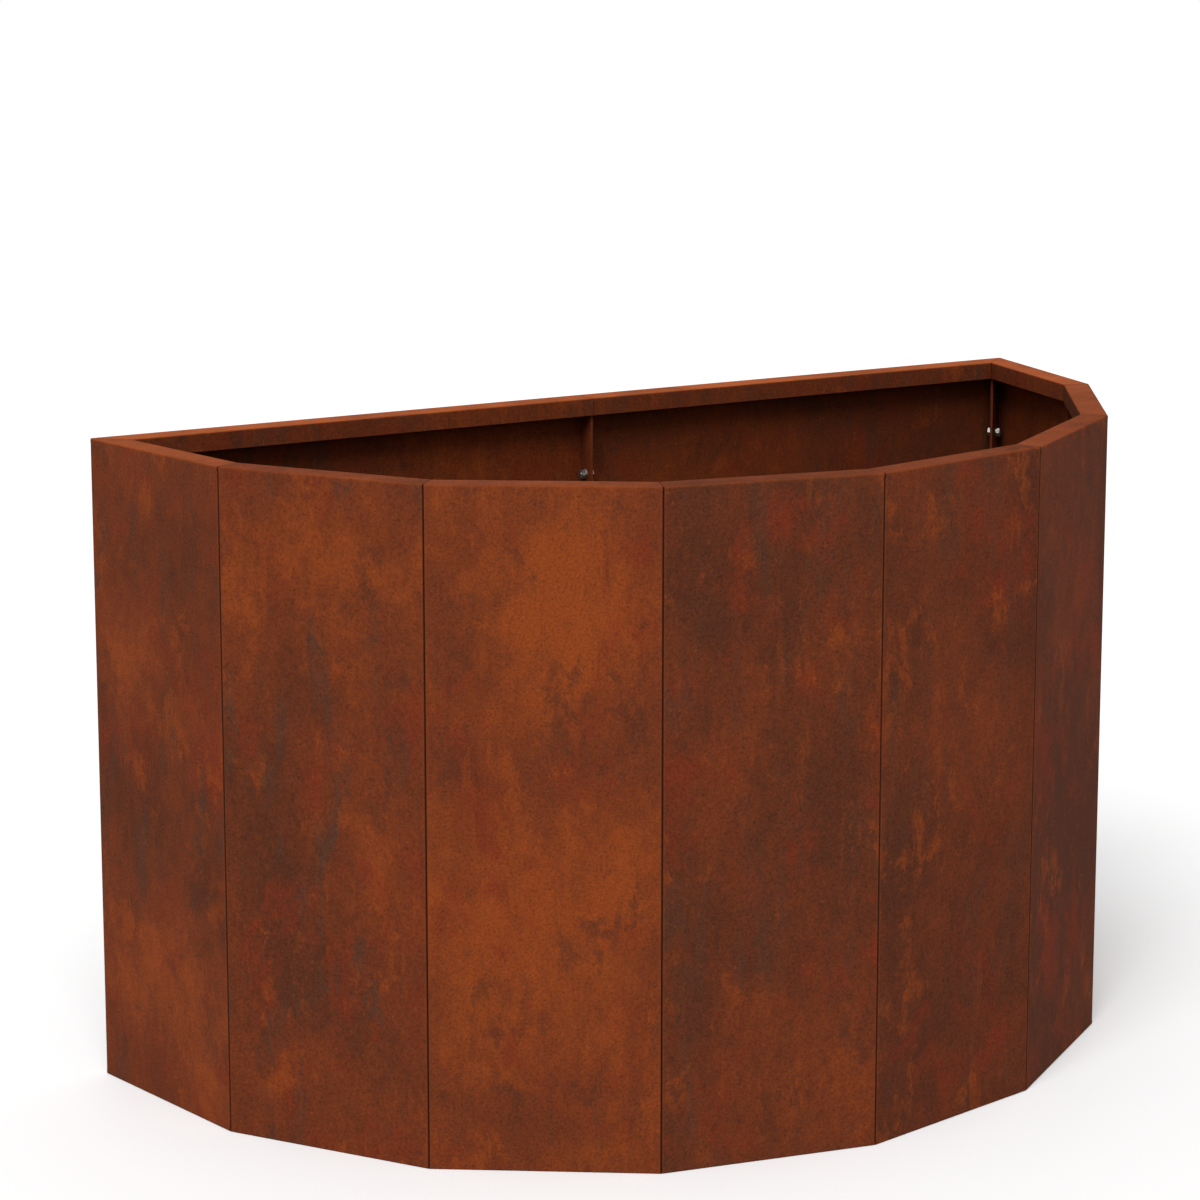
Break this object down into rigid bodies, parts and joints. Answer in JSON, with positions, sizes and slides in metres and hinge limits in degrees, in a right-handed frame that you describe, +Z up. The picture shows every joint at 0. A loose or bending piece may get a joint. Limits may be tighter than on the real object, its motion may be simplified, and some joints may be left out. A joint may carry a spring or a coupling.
{
  "type": "half-round floor planter",
  "caption": "Half-round floor planter of flat folded rusty steel panels with an inward rim, a flat back, drained bottom plates and cross ties, bolted together inside.",
  "frame": {"origin": "on the ground, in the middle of the bounding box", "axes": "+Z up; +X along the flat back, to the right when seen from the front; +Y from the round front towards the flat back"},
  "size_m": [1.1982, 0.5999, 0.7],
  "materials": {
    "weathering_steel_panels": "matte",
    "weathering_steel_base": "matte",
    "weathering_steel_ties": "matte",
    "fastener_steel": "satin"
  },
  "bodies": {
    "root": {"front_panel_1": "weathering_steel_panels", "front_panel_2": "weathering_steel_panels", "front_panel_3": "weathering_steel_panels", "front_panel_4": "weathering_steel_panels", "front_panel_5": "weathering_steel_panels", "front_panel_6": "weathering_steel_panels", "front_panel_7": "weathering_steel_panels", "front_panel_8": "weathering_steel_panels", "back_panel_left": "weathering_steel_panels", "back_panel_right": "weathering_steel_panels", "base_plate_left": "weathering_steel_base", "base_plate_right": "weathering_steel_base", "cross_tie_lower": "weathering_steel_ties", "cross_tie_upper": "weathering_steel_ties", "front_seam_bolts": "fastener_steel", "front_seam_nuts": "fastener_steel", "front_seam_washers": "fastener_steel", "corner_seam_bolts": "fastener_steel", "corner_seam_nuts": "fastener_steel", "corner_seam_washers": "fastener_steel", "back_seam_bolts": "fastener_steel", "back_seam_nuts": "fastener_steel", "back_seam_washers": "fastener_steel", "tie_bolts": "fastener_steel"}
  },
  "joints": []
}
